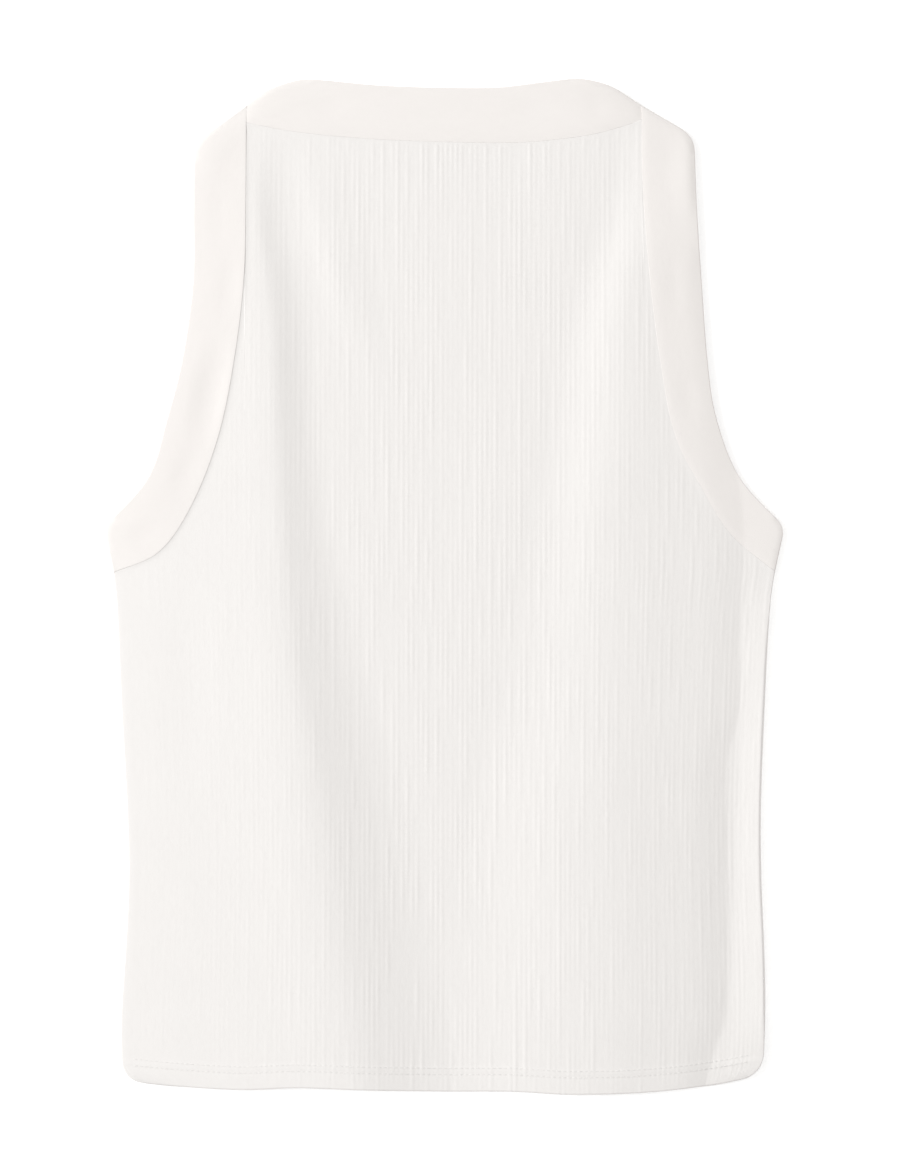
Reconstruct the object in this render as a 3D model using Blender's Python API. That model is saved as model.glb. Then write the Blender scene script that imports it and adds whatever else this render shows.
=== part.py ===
"""A ribbed tank top, lying flat on its back panel with its front up.

Sizes are in millimetres and are scaled to metres as each piece becomes an object. The frame
has +X to the right as the front is seen, +Y towards the neck and +Z up, with the origin in the
middle of the outline, on the surface that the top lies on.

Eight pieces of cloth are cut and sewn: a front and a back panel of rib knit, and a plain double
band along each neckline and along each half of each armhole. The bands are sewn on flat, so their
ends run along the shoulder and side seams. The front pieces lie on the back ones.
"""

import math
from typing import Callable, Iterable, NamedTuple

import bmesh
import bpy
from mathutils import Vector

METRES = 0.001              # one millimetre

# Cloth
SEAM_GAP = 0.3              # between pieces at a seam, and between the layers
PANEL_WALL = 1.3            # rib knit, at the bottom of a rib's groove
RIB_PITCH = 2.7
RIB_RELIEF = 0.5
BAND_WALL = 1.8             # plain knit, folded double
EDGE_REACH = 3.0            # how far in from its border a piece reaches its full height
PANEL_EDGE_DROP = 0.3
BAND_EDGE_DROP = 0.6

# Where the front pieces rest, over the back ones
FRONT_PANEL_REST = PANEL_WALL + SEAM_GAP
FRONT_BAND_REST = BAND_WALL + SEAM_GAP

# Fineness of the solids
LINE_SPACING = 9.0          # between the points of an outline
COLUMN_SPACING = RIB_PITCH / 2   # a column on each rib's crest and in each groove
INSIDE_COLUMN_SPACING = 6 * COLUMN_SPACING
BACK_COLUMN_SPACING = 24 * COLUMN_SPACING
BAND_COLUMN_SPACING = 6 * COLUMN_SPACING
ROW_SPACING = 50.0
HALF_REACH = 300.0          # the cuts' rows and columns span this much each way
CUT_MARGIN = 0.12           # a cut this near to a point goes through that point

# How far a corner is rounded off along both of its edges
SHOULDER_ROUND = 8.5
UNDERARM_ROUND = 6.0
NECK_ROUND = 15.0
HEM_ROUND = 13.0
CORNER_MARGIN = 1.2                 # an outline's own points keep this much clear of the rounding
CORNER_STEPS = (0.25, 0.5, 0.75)    # the points along a rounded corner

# Looks
RIB_COLOUR = (0.87, 0.855, 0.835)
BAND_COLOUR = (0.89, 0.87, 0.85)
CLOTH_ROUGHNESS = 0.9
SHARP_ANGLE = math.radians(50)


class Pair(NamedTuple):
    """One place on the left and on the right edge: how far out from the middle, and how far up."""

    left_out: float
    left_up: float
    right_out: float
    right_up: float

    def point(self, side: int) -> Vector:
        """The place on the left (side -1) or on the right (side 1)."""
        if side < 0:
            return Vector((-self.left_out, self.left_up))
        return Vector((self.right_out, self.right_up))


class Place(NamedTuple):
    """One place on an edge that runs across the top."""

    across: float
    up: float


class Crest(NamedTuple):
    """One station of a fold: where its crest is, how high, and how far its flanks run."""

    up: float
    across: float
    height: float
    left_flank: float
    right_flank: float


class Slope(NamedTuple):
    """How steep a flank is, next to its other stations, at one share of the way down from the crest."""

    share: float
    steepness: float


class Fold(NamedTuple):
    """A long soft fold: its stations from the top down, and how its flanks run down."""

    crests: tuple[Crest, ...]
    left: tuple[Slope, ...]
    right: tuple[Slope, ...]


# The armhole's free edge, from the shoulder to the underarm corner
ARMHOLE_EDGE = (
    Pair(138.3, 243.8, 137.4, 248.0),
    Pair(138.3, 205.0, 138.8, 208.0),
    Pair(138.8, 166.0, 141.6, 166.0),
    Pair(144.6, 125.0, 144.6, 125.0),
    Pair(153.0, 92.0, 149.5, 93.0),
    Pair(163.4, 60.0, 162.6, 60.0),
    Pair(187.6, 32.8, 187.2, 32.8),
)

# Where the armhole and neck bands meet at the shoulder, beyond the panel's point
SHOULDER = Pair(109.3, 264.9, 108.5, 264.8)

# The seam between band and panel, from the panel's point to the side seam
ARMHOLE_SEAM = (
    Pair(109.4, 255.5, 108.6, 257.0),
    Pair(109.5, 215.0, 108.9, 222.0),
    Pair(110.3, 172.0, 112.6, 172.0),
    Pair(115.4, 127.0, 118.2, 127.0),
    Pair(124.1, 84.0, 126.2, 85.0),
    Pair(138.6, 46.0, 140.4, 56.0),
    Pair(157.0, 19.4, 157.5, 29.0),
    Pair(182.5, 7.8, 181.9, 8.4),
)

# The side seam, from the band down to the hem's corner
SIDE_EDGE = (
    Pair(182.5, 7.8, 181.9, 8.4),
    Pair(180.5, -12.0, 179.1, -12.0),
    Pair(178.2, -64.0, 176.3, -64.0),
    Pair(175.1, -120.0, 174.2, -120.0),
    Pair(174.1, -160.0, 174.4, -160.0),
    Pair(175.9, -200.0, 176.0, -200.0),
    Pair(178.2, -237.0, 176.6, -232.0),
    Pair(177.8, -272.2, 175.2, -268.8),
)

# The neck's free edge and its seam, from the left shoulder to the right one
NECK_EDGE = (
    Place(-90.4, 279.4),
    Place(-70.0, 279.1),
    Place(-36.0, 276.0),
    Place(0.0, 274.8),
    Place(30.0, 275.0),
    Place(56.0, 278.0),
    Place(83.4, 281.2),
)
NECK_SEAM = (
    Place(-109.4, 255.5),
    Place(-82.3, 250.6),
    Place(-45.0, 246.9),
    Place(0.0, 244.9),
    Place(42.0, 244.6),
    Place(76.0, 248.0),
    Place(97.0, 253.0),
    Place(108.6, 257.0),
)

# The lower edge, which waves a little as the cloth lies
HEM_EDGE = (
    Place(-177.8, -272.2),
    Place(-148.0, -274.9),
    Place(-112.0, -276.7),
    Place(-80.0, -275.5),
    Place(-40.0, -276.8),
    Place(0.0, -277.9),
    Place(38.0, -277.8),
    Place(70.0, -279.2),
    Place(112.0, -278.0),
    Place(148.0, -274.2),
    Place(175.2, -268.8),
)

# The front's soft folds
SOFT_FLANK = (Slope(0.0, 0.0), Slope(0.4, 1.0), Slope(0.6, 1.0), Slope(1.0, 0.0))
LEFT_FOLD = Fold(
    (
        Crest(250.0, -104.0, 0.0, 24.0, 18.0),
        Crest(202.0, -105.0, 1.7, 50.0, 19.0),
        Crest(169.0, -100.0, 2.4, 60.0, 24.0),
        Crest(136.0, -97.0, 2.9, 68.0, 26.0),
        Crest(103.0, -96.0, 3.0, 74.0, 27.0),
        Crest(37.0, -94.0, 3.3, 90.0, 34.0),
        Crest(-29.0, -90.0, 4.3, 96.0, 46.0),
        Crest(-95.0, -80.0, 4.9, 100.0, 54.0),
        Crest(-161.0, -71.0, 4.9, 108.0, 63.0),
        Crest(-227.0, -61.0, 4.6, 119.0, 68.0),
        Crest(-290.0, -49.0, 4.2, 131.0, 65.0),
    ),
    left=(
        Slope(0.0, 0.0), Slope(0.15, 1.0), Slope(0.35, 1.0), Slope(0.6, 0.8), Slope(0.85, 1.0),
        Slope(1.0, 0.9),
    ),
    right=(Slope(0.0, 0.0), Slope(0.25, 1.0), Slope(0.5, 1.0), Slope(1.0, 0.0)),
)
RIGHT_FOLD = Fold(
    (
        Crest(266.0, 112.0, 0.0, 20.0, 24.0),
        Crest(240.0, 112.0, 0.9, 20.0, 36.0),
        Crest(213.0, 113.0, 1.5, 24.0, 38.0),
        Crest(202.0, 113.0, 1.7, 26.0, 38.0),
        Crest(186.0, 109.5, 2.1, 29.0, 36.0),
        Crest(169.0, 105.5, 2.4, 32.0, 38.0),
        Crest(136.0, 102.5, 2.8, 39.0, 46.0),
        Crest(103.0, 101.5, 3.0, 46.0, 53.0),
        Crest(70.0, 98.0, 3.0, 46.0, 61.0),
        Crest(37.0, 95.0, 2.9, 50.0, 69.0),
        Crest(-29.0, 97.0, 2.9, 66.0, 66.0),
        Crest(-64.0, 95.0, 2.9, 72.0, 68.5),
        Crest(-95.0, 91.0, 3.4, 80.0, 64.5),
        Crest(-128.0, 90.0, 3.7, 92.0, 65.5),
        Crest(-161.0, 90.0, 3.8, 97.0, 65.5),
        Crest(-232.0, 90.0, 3.8, 100.0, 65.0),
        Crest(-254.0, 89.0, 3.5, 99.0, 60.0),
        Crest(-290.0, 87.0, 3.3, 100.0, 53.0),
    ),
    left=(Slope(0.0, 0.0), Slope(0.4, 1.0), Slope(0.6, 1.0), Slope(1.0, 0.0)),
    right=(Slope(0.0, 0.0), Slope(0.28, 0.5), Slope(0.66, 0.5), Slope(0.86, 1.4), Slope(1.0, 1.5)),
)
SIDE_ROLL = Fold(
    (
        Crest(12.0, 181.2, 0.0, 17.0, 0.9),
        Crest(-30.0, 177.0, 1.3, 16.0, 0.9),
        Crest(-64.0, 175.3, 1.6, 14.5, 0.9),
        Crest(-95.0, 173.9, 1.9, 14.0, 0.9),
        Crest(-128.0, 173.1, 2.0, 14.0, 0.9),
        Crest(-160.0, 173.4, 2.1, 15.0, 0.9),
        Crest(-200.0, 175.0, 2.2, 17.5, 0.9),
        Crest(-238.0, 175.6, 1.9, 20.0, 0.9),
        Crest(-256.0, 175.4, 1.4, 28.0, 0.9),
        Crest(-270.0, 174.8, 1.0, 34.0, 0.9),
        Crest(-290.0, 174.4, 0.7, 36.0, 0.9),
    ),
    left=(Slope(0.0, 0.6), Slope(0.15, 1.0), Slope(0.6, 1.0), Slope(1.0, 0.4)),
    right=(Slope(0.0, 0.0), Slope(0.5, 1.0), Slope(1.0, 1.0)),
)
FOLDS = (LEFT_FOLD, RIGHT_FOLD, SIDE_ROLL)
SHOULDER_CREASE = Fold(
    (
        Crest(244.0, -78.0, 0.0, 12.0, 24.0),
        Crest(202.0, -67.0, 0.55, 14.0, 28.0),
        Crest(150.0, -52.0, 0.55, 15.0, 30.0),
        Crest(90.0, -22.0, 0.0, 16.0, 30.0),
    ),
    left=SOFT_FLANK,
    right=SOFT_FLANK,
)
NECK_SWELL = Fold(
    (
        Crest(300.0, 88.0, 0.8, 68.0, 42.0),
        Crest(250.0, 88.0, 0.8, 68.0, 42.0),
        Crest(205.0, 78.0, 0.0, 58.0, 38.0),
    ),
    left=SOFT_FLANK,
    right=SOFT_FLANK,
)


def clear_scene() -> None:
    """Remove every object of the scene."""
    for thing in list(bpy.data.objects):
        bpy.data.objects.remove(thing, do_unlink=True)


def make_material(name: str, colour: tuple[float, float, float]) -> bpy.types.Material:
    """Make a matt cloth material.

    Args:
        name: The material's name.
        colour: Base colour, linear red, green and blue.

    Returns:
        The new material.
    """
    material = bpy.data.materials.new(name)
    material.use_nodes = True
    shader = material.node_tree.nodes["Principled BSDF"]
    shader.inputs["Base Color"].default_value = (*colour, 1.0)
    shader.inputs["Roughness"].default_value = CLOTH_ROUGHNESS
    shader.inputs["Metallic"].default_value = 0.0
    return material


def smooth_line(points: list[Vector]) -> list[Vector]:
    """Sample a smooth curve through a few points, ends included.

    Args:
        points: The places that the curve passes through, in order.

    Returns:
        Points about LINE_SPACING apart along the curve.
    """
    before = points[0] * 2 - points[1]
    after = points[-1] * 2 - points[-2]
    row = [before, *points, after]
    line = [points[0]]
    for first, start, end, last in zip(row, row[1:], row[2:], row[3:]):
        steps = max(1, round((end - start).length / LINE_SPACING))
        for step in range(1, steps + 1):
            t = step / steps
            spread = start * 2 + (end - first) * t
            bend = (first * 2 - start * 5 + end * 4 - last) * t ** 2
            turn = (start * 3 - first - end * 3 + last) * t ** 3
            line.append((spread + bend + turn) / 2)
    return line


def shorten(line: list[Vector], reach: float) -> list[Vector]:
    """Cut a line back from its last point, so that it ends ``reach`` away from there."""
    corner = line[-1]
    kept = [point for point in line if (point - corner).length > CORNER_MARGIN * reach]
    return [*kept, corner + (kept[-1] - corner).normalized() * reach]


def join(first: list[Vector], second: list[Vector], reach: float = 0.0) -> list[Vector]:
    """Join two lines that meet at a corner.

    Args:
        first: The line that ends at the corner.
        second: The line that starts there.
        reach: How far the corner is rounded off along both lines, or 0 for a sharp one.

    Returns:
        One line with the corner, or the curve that takes its place.
    """
    corner = first[-1]
    if not reach:
        return [*first, *second[1:]]
    start = shorten(first, reach)
    end = shorten(second[::-1], reach)[::-1]
    curve = []
    for t in CORNER_STEPS:
        curve.append(start[-1] * (1 - t) ** 2 + corner * (2 * t * (1 - t)) + end[0] * t ** 2)
    return [*start, *curve, *end]


def places(table: Iterable[Place]) -> list[Vector]:
    """The smooth line through a table of places."""
    return smooth_line([Vector(place) for place in table])


def edge(table: Iterable[Pair], side: int) -> list[Vector]:
    """The smooth line through the left or right places of a table."""
    return smooth_line([pair.point(side) for pair in table])


def armband_outline(side: int) -> list[Vector]:
    """The outline of an armhole band, from the shoulder's inner end round its free edge."""
    free = edge(ARMHOLE_EDGE, side)
    seam = edge((SHOULDER, *ARMHOLE_SEAM), side)
    line = join([seam[0], free[0]], free, SHOULDER_ROUND)
    line = join(line, [free[-1], seam[-1]], UNDERARM_ROUND)
    return join(line, seam[::-1])[:-1]


def neckband_outline() -> list[Vector]:
    """The outline of a neck band, from the left shoulder over its free edge and back."""
    free = places(NECK_EDGE)
    seam = places(NECK_SEAM)
    line = join([seam[0], SHOULDER.point(-1), free[0]], free, NECK_ROUND)
    line = join(line, [free[-1], SHOULDER.point(1), seam[-1]], NECK_ROUND)
    return join(line, seam[::-1])[:-1]


def panel_outline() -> list[Vector]:
    """The outline of a panel, from the left shoulder round the neck, right side and hem."""
    line = join(places(NECK_SEAM), edge(ARMHOLE_SEAM, 1))
    line = join(line, edge(SIDE_EDGE, 1))
    line = join(line, places(HEM_EDGE)[::-1], HEM_ROUND)
    line = join(line, edge(SIDE_EDGE, -1)[::-1], HEM_ROUND)
    return join(line, edge(ARMHOLE_SEAM, -1)[::-1])[:-1]


def flank_height(slopes: tuple[Slope, ...], away: float) -> float:
    """How much of a fold's height is left on a flank.

    Args:
        slopes: How the flank runs down.
        away: The share of the way from the crest to the flank's foot.

    Returns:
        The share of the height, 1 at the crest and 0 at the foot.
    """
    fallen = total = 0.0
    for above, below in zip(slopes, slopes[1:]):
        width = below.share - above.share
        total += width * (above.steepness + below.steepness) / 2
        passed = min(max(away - above.share, 0.0), width)
        change = (below.steepness - above.steepness) * passed / width
        fallen += passed * (above.steepness + change / 2)
    return 1.0 - fallen / total


def fold_lift(fold: Fold, across: float, up: float) -> float:
    """How far one fold raises the cloth at a place.

    Args:
        fold: The fold.
        across: The place, to the right of the middle.
        up: The place, above the middle.

    Returns:
        The lift in millimetres, 0 outside the fold.
    """
    for above, below in zip(fold.crests, fold.crests[1:]):
        if below.up <= up <= above.up:
            t = (above.up - up) / (above.up - below.up)
            ease = t * t * (3 - 2 * t)
            middle = above.across + (below.across - above.across) * t
            height = above.height + (below.height - above.height) * ease
            if across < middle:
                slopes = fold.left
                flank = above.left_flank + (below.left_flank - above.left_flank) * t
            else:
                slopes = fold.right
                flank = above.right_flank + (below.right_flank - above.right_flank) * t
            return height * flank_height(slopes, min(1.0, abs(across - middle) / flank))
    return 0.0


def front_lift(across: float, up: float) -> float:
    """How far the folds raise the front at a place."""
    highest = max(fold_lift(fold, across, up) for fold in FOLDS)
    return highest + fold_lift(SHOULDER_CREASE, across, up) + fold_lift(NECK_SWELL, across, up)


def front_underside(across: float, up: float) -> float:
    """The front panel's plain inside, over the back panel."""
    return FRONT_PANEL_REST + front_lift(across, up)


def front_top(across: float, up: float) -> float:
    """The front panel's outer face, with its ribs."""
    rib = 0.5 + 0.5 * math.cos(2 * math.pi * across / RIB_PITCH)
    return front_underside(across, up) + PANEL_WALL + RIB_RELIEF * rib


def level(height: float) -> Callable[[float, float], float]:
    """A face that lies level at one height."""
    return lambda across, up: height


def lifted(height: float) -> Callable[[float, float], float]:
    """A face at one height over the front's folds."""
    return lambda across, up: height + front_lift(across, up)


def cut(geometry: list, mesh: bmesh.types.BMesh, spacing: float, direction: Vector) -> list:
    """Cut faces along parallel lines.

    Args:
        geometry: The vertices, edges and faces to cut.
        mesh: The mesh that they belong to.
        spacing: The distance between the lines.
        direction: The direction across the lines.

    Returns:
        The geometry after the cuts.
    """
    lines = int(HALF_REACH / spacing)
    for number in range(-lines, lines + 1):
        place = direction * (number * spacing)
        result = bmesh.ops.bisect_plane(
            mesh, geom=geometry, dist=CUT_MARGIN, plane_co=place, plane_no=direction,
        )
        geometry = result["geom"]
    return geometry


def draw_in(mesh: bmesh.types.BMesh, reach: float) -> list[bmesh.types.BMFace]:
    """Draw the mesh's faces in from their border, and give back the ring of faces that this leaves."""
    ring = bmesh.ops.inset_region(
        mesh, faces=mesh.faces[:], thickness=reach, use_even_offset=True, use_boundary=True,
    )
    return ring["faces"]


def cloth(
    name: str,
    outline: list[Vector],
    underside: Callable[[float, float], float],
    top: Callable[[float, float], float],
    edge_drop: float,
    material: bpy.types.Material,
    columns: float = 0.0,
    inside_columns: float = 0.0,
) -> bpy.types.Object:
    """Make one piece of cloth as a closed wall.

    The outline is filled, drawn in by half the seam's gap and given a ring of faces along its
    border. The filled face is cut into columns and rows for the outer face, and its border is
    carried down to a second, coarser face for the underside.

    Args:
        name: The object's name.
        outline: The piece's outline on the seam lines.
        underside: The height of its underside at a place.
        top: The height of its outer face at a place.
        edge_drop: How much lower the outer face is at the border.
        material: The piece's material.
        columns: The spacing of the outer face's columns, or 0 for none.
        inside_columns: The spacing of the underside's columns, a whole number of the outer ones.

    Returns:
        The new object.
    """
    mesh = bmesh.new()
    across, upward = Vector((1, 0, 0)), Vector((0, 1, 0))
    filled = mesh.faces.new([mesh.verts.new((*point, 0.0)) for point in outline])
    bmesh.ops.recalc_face_normals(mesh, faces=[filled])
    trimmed = draw_in(mesh, SEAM_GAP / 2)
    bmesh.ops.delete(mesh, geom=trimmed, context="FACES")
    draw_in(mesh, EDGE_REACH)
    if columns:
        geometry = [*mesh.verts, *mesh.edges, *mesh.faces]
        geometry = cut(geometry, mesh, columns, across)
        cut(geometry, mesh, ROW_SPACING, upward)
        bmesh.ops.remove_doubles(mesh, verts=mesh.verts[:], dist=CUT_MARGIN)

    upper = mesh.verts[:]
    border = [line for line in mesh.edges if line.is_boundary]
    rim = {vertex for line in border for vertex in line.verts}
    carried = bmesh.ops.extrude_edge_only(mesh, edges=border)["geom"]
    lower_rim = [item for item in carried if isinstance(item, bmesh.types.BMEdge) and item.is_boundary]
    closed = bmesh.ops.contextual_create(mesh, geom=lower_rim)["faces"]
    if inside_columns:
        lower_faces = [*closed, *closed[0].edges, *closed[0].verts]
        lower_faces = cut(lower_faces, mesh, inside_columns, across)
        cut(lower_faces, mesh, ROW_SPACING, upward)

    upper_set = set(upper)
    for vertex in mesh.verts:
        x, y = vertex.co.x, vertex.co.y
        if vertex in upper_set:
            vertex.co.z = top(x, y) - (edge_drop if vertex in rim else 0.0)
        else:
            vertex.co.z = underside(x, y)
    bmesh.ops.triangulate(mesh, faces=mesh.faces[:])
    bmesh.ops.recalc_face_normals(mesh, faces=mesh.faces[:])
    bmesh.ops.scale(mesh, vec=Vector((METRES, METRES, METRES)), verts=mesh.verts[:])

    data = bpy.data.meshes.new(name)
    mesh.to_mesh(data)
    mesh.free()
    data.shade_smooth()
    data.set_sharp_from_angle(angle=SHARP_ANGLE)
    data.materials.append(material)
    return bpy.data.objects.new(name, data)


def build_panels(knit: bpy.types.Material) -> list[bpy.types.Object]:
    """Make the ribbed front and the back that it lies on."""
    outline = panel_outline()
    front = cloth(
        "front_panel", outline, front_underside, front_top, PANEL_EDGE_DROP, knit,
        COLUMN_SPACING, INSIDE_COLUMN_SPACING,
    )
    back = cloth(
        "back_panel", outline, level(0.0), level(PANEL_WALL), PANEL_EDGE_DROP, knit,
        BACK_COLUMN_SPACING, BACK_COLUMN_SPACING,
    )
    return [front, back]


def build_bands(knit: bpy.types.Material) -> list[bpy.types.Object]:
    """Make the neck and armhole bands, the front ones over the back ones."""
    outlines = {
        "neckband": neckband_outline(),
        "left_armband": armband_outline(-1),
        "right_armband": armband_outline(1),
    }
    bands = []
    for name, outline in outlines.items():
        columns = BAND_COLUMN_SPACING if name.endswith("armband") else 0.0
        bands.append(cloth(f"back_{name}", outline, level(0.0), level(BAND_WALL), BAND_EDGE_DROP, knit))
        bands.append(cloth(
            f"front_{name}", outline, lifted(FRONT_BAND_REST), lifted(FRONT_BAND_REST + BAND_WALL),
            BAND_EDGE_DROP, knit, columns, columns,
        ))
    return bands


def main() -> None:
    """Build the tank top in a collection of its own, under one empty."""
    clear_scene()
    collection = bpy.data.collections.new("tank_top")
    bpy.context.scene.collection.children.link(collection)
    root = bpy.data.objects.new("tank_top_root", None)
    collection.objects.link(root)
    rib_knit = make_material("rib_knit", RIB_COLOUR)
    plain_knit = make_material("plain_knit", BAND_COLOUR)
    for piece in [*build_panels(rib_knit), *build_bands(plain_knit)]:
        collection.objects.link(piece)
        piece.parent = root


if __name__ == "__main__":
    main()
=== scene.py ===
"""Dress a ribbed tank top that lies flat on its back, with its front up.

Every piece of cloth in the frame gets a fine shell of its own: two ribbed panels with soft folds
and a stitched hem, and smooth double bands round the neck and the armholes. Sizes are in
millimetres and are scaled to metres when a mesh is written. +X is to the right as the front is
seen, +Y is towards the neck and +Z is up.
"""

import logging
import math
from dataclasses import dataclass, field
from enum import Enum
from typing import NamedTuple, Sequence

import bpy
import numpy as np
from mathutils.kdtree import KDTree
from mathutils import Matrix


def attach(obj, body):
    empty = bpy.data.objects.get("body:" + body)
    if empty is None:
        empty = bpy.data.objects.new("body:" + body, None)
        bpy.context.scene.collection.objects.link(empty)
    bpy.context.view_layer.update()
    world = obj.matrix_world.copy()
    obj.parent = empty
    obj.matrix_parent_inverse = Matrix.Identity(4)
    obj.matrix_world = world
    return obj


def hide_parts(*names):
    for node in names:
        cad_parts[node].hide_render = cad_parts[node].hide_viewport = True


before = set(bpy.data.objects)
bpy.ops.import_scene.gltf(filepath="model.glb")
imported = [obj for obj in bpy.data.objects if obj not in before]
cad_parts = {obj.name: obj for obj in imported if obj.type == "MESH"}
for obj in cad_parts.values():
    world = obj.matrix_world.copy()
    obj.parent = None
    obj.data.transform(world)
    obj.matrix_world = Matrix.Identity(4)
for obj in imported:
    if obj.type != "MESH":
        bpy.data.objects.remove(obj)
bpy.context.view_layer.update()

METRES = 0.001
BODY = "root"
GRAIN_MAP = "grain"         # the UV map: places in the flat cloth, in metres
CURVE_STEPS = 40            # samples between two places of a smooth line
FLANK_STEPS = 121           # samples down the flank of a fold
BORDER_STEP = 0.3           # spacing of the samples on a border that clearances are measured to
GRID_WALL = 0.1             # the wall that a flat grid gets before it is shaped

log = logging.getLogger("tank_top")


class Half(Enum):
    """The two layers of the garment as it lies."""

    FRONT = "front"
    BACK = "back"


class Side(Enum):
    """The sides as the front is seen. The value is the sign of X."""

    LEFT = -1
    RIGHT = 1


class Pair(NamedTuple):
    """One place on the left and on the right edge: how far out from the middle, and how far up."""

    left_out: float
    left_up: float
    right_out: float
    right_up: float

    def place(self, side: Side) -> tuple[float, float]:
        """The place on one side.

        Args:
            side: Which side.

        Returns:
            How far across and how far up it is.
        """
        if side is Side.LEFT:
            return (-self.left_out, self.left_up)
        return (self.right_out, self.right_up)


class Crest(NamedTuple):
    """One station of a fold: where its crest is, how high, and how far its flanks run."""

    up: float
    across: float
    height: float
    left_flank: float
    right_flank: float


class Slope(NamedTuple):
    """How steep a flank is, next to the rest of it, at one share of the way down from the crest."""

    share: float
    steepness: float


@dataclass(frozen=True)
class Fold:
    """A long soft fold: its stations from the top down, and how its flanks run down."""

    crests: tuple[Crest, ...]
    left: tuple[Slope, ...]
    right: tuple[Slope, ...]

    def lift(self, points: np.ndarray) -> np.ndarray:
        """How far the fold raises the cloth.

        Args:
            points: The points, with across and up in the last axis.

        Returns:
            The lift at each point.
        """
        stations = smooth_places(self.crests)[::-1]
        up = points[..., 1]
        middle, height, left, right = (
            np.interp(up, stations[:, 0], stations[:, column]) for column in range(1, 5)
        )
        side = points[..., 0] - middle
        on_left = flank_height(self.left, -side / left)
        on_right = flank_height(self.right, side / right)
        return np.maximum(height, 0.0) * np.where(side < 0.0, on_left, on_right)


class Dent(NamedTuple):
    """A soft hollow (depth above 0) or swelling (below 0) and its reach each way."""

    across: float
    up: float
    depth: float
    reach_across: float
    reach_up: float
    turn: float


class Roll(NamedTuple):
    """How a band's free edge rolls down at one share of its length."""

    share: float
    depth: float
    reach: float


class Drop(NamedTuple):
    """How much lower a band gets towards its seam, and from how far."""

    depth: float
    reach: float


class Step(NamedTuple):
    """A soft step: where it starts, how long it is and what it adds in the end."""

    start: float
    length: float
    change: float

    def at(self, place: np.ndarray) -> np.ndarray:
        """What the step adds at each place."""
        return self.change * ease((place - self.start) / self.length)


# The armhole's free edge, from the shoulder to the underarm corner
ARMHOLE_EDGE = (
    Pair(138.3, 243.8, 137.4, 248),
    Pair(138.3, 205, 138.8, 208),
    Pair(138.8, 166, 141.6, 166),
    Pair(144.6, 125, 144.6, 125),
    Pair(153, 92, 149.5, 93),
    Pair(163.4, 60, 162.6, 60),
    Pair(187.6, 32.8, 187.2, 32.8),
)

# Where the armhole and neck bands meet at the shoulder, beyond the panel's point
SHOULDER = Pair(109.3, 264.9, 108.5, 264.8)

# The seam between band and panel, from the panel's point to the side seam
ARMHOLE_SEAM = (
    Pair(109.4, 255.5, 108.6, 257),
    Pair(109.5, 215, 108.9, 222),
    Pair(110.3, 172, 112.6, 172),
    Pair(115.4, 127, 118.2, 127),
    Pair(124.1, 84, 126.2, 85),
    Pair(138.6, 46, 140.4, 56),
    Pair(157, 19.4, 157.5, 29),
    Pair(182.5, 7.8, 181.9, 8.4),
)

# The side seam, from the band down to the hem's corner
SIDE_EDGE = (
    Pair(182.5, 7.8, 181.9, 8.4),
    Pair(180.5, -12, 179.1, -12),
    Pair(178.2, -64, 176.3, -64),
    Pair(175.1, -120, 174.2, -120),
    Pair(174.1, -160, 174.4, -160),
    Pair(175.9, -200, 176, -200),
    Pair(178.2, -237, 176.6, -232),
    Pair(177.8, -272.2, 175.2, -268.8),
)

# The neck's free edge and its seam, and the hem, each from the left to the right
NECK_EDGE = (
    (-90.4, 279.4), (-70, 279.1), (-36, 276), (0, 274.8), (30, 275), (56, 278),
    (83.4, 281.2),
)
NECK_SEAM = (
    (-109.4, 255.5), (-82.3, 250.6), (-45, 246.9), (0, 244.9), (42, 244.6), (76, 248),
    (97, 253), (108.6, 257),
)
HEM_EDGE = (
    (-177.8, -272.2), (-148, -274.9), (-112, -276.7), (-80, -275.5), (-40, -276.8),
    (0, -277.9), (38, -277.8), (70, -279.2), (112, -278), (148, -274.2),
    (175.2, -268.8),
)

# The front's soft folds
SOFT_FLANK = (Slope(0, 0), Slope(0.4, 1), Slope(0.6, 1), Slope(1, 0))
LEFT_FOLD = Fold(
    (
        Crest(250, -104, 0, 24, 18),
        Crest(202, -105, 1.7, 50, 19),
        Crest(169, -100, 2.4, 60, 24),
        Crest(136, -97, 2.9, 68, 26),
        Crest(103, -96, 3, 74, 27),
        Crest(37, -94, 3.3, 90, 34),
        Crest(-29, -90, 4.3, 96, 46),
        Crest(-95, -80, 4.9, 100, 54),
        Crest(-161, -71, 4.9, 108, 63),
        Crest(-227, -61, 4.6, 119, 68),
        Crest(-290, -49, 4.2, 131, 65),
    ),
    left=(
        Slope(0, 0), Slope(0.15, 1), Slope(0.35, 1), Slope(0.6, 0.8), Slope(0.85, 1),
        Slope(1, 0.9),
    ),
    right=(Slope(0, 0), Slope(0.25, 1), Slope(0.5, 1), Slope(1, 0)),
)
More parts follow.
